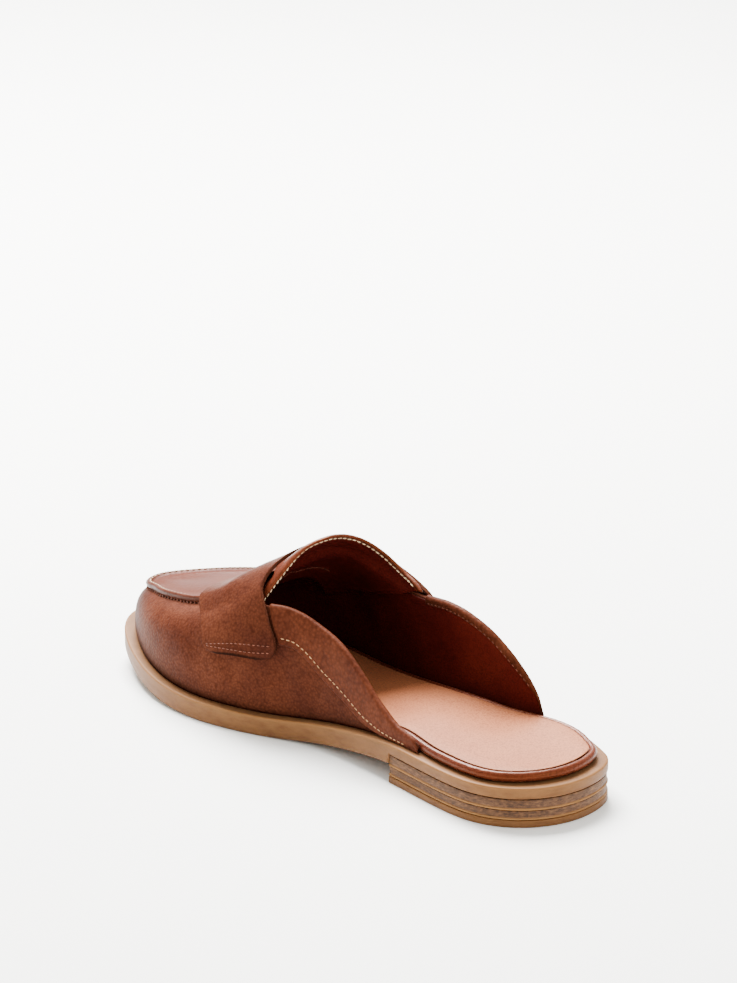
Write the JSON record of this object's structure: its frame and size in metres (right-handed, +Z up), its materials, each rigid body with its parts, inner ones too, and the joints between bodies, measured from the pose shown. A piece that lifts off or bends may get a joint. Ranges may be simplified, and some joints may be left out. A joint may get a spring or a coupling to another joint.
{
  "type": "loafer mule",
  "caption": "Backless leather loafer with a raised toe plug, a saddle strap, a standing tongue and a low stacked heel.",
  "frame": {"origin": "on the floor under the middle of the shoe's length and width", "axes": "+Y to the toe, +Z up from the floor, +X to the lateral side of a right shoe"},
  "size_m": [0.0883, 0.26, 0.0814],
  "materials": {
    "upper_leather": "burnished, semi-gloss",
    "collar_leather": "burnished, satin",
    "sock_liner_leather": "smooth, matte",
    "sole_rubber": "moulded, satin",
    "stacked_heel": "stacked, sanded edge"
  },
  "bodies": {
    "root": {"outsole": "sole_rubber", "heel_lift_upper": "stacked_heel", "heel_lift_lower": "stacked_heel", "heel_top_piece": "sole_rubber", "footbed": "upper_leather", "sock_liner": "sock_liner_leather", "upper": "upper_leather", "apron": "upper_leather", "strap": "upper_leather", "tongue": "upper_leather", "collar_medial": "collar_leather", "collar_lateral": "collar_leather"}
  },
  "joints": []
}
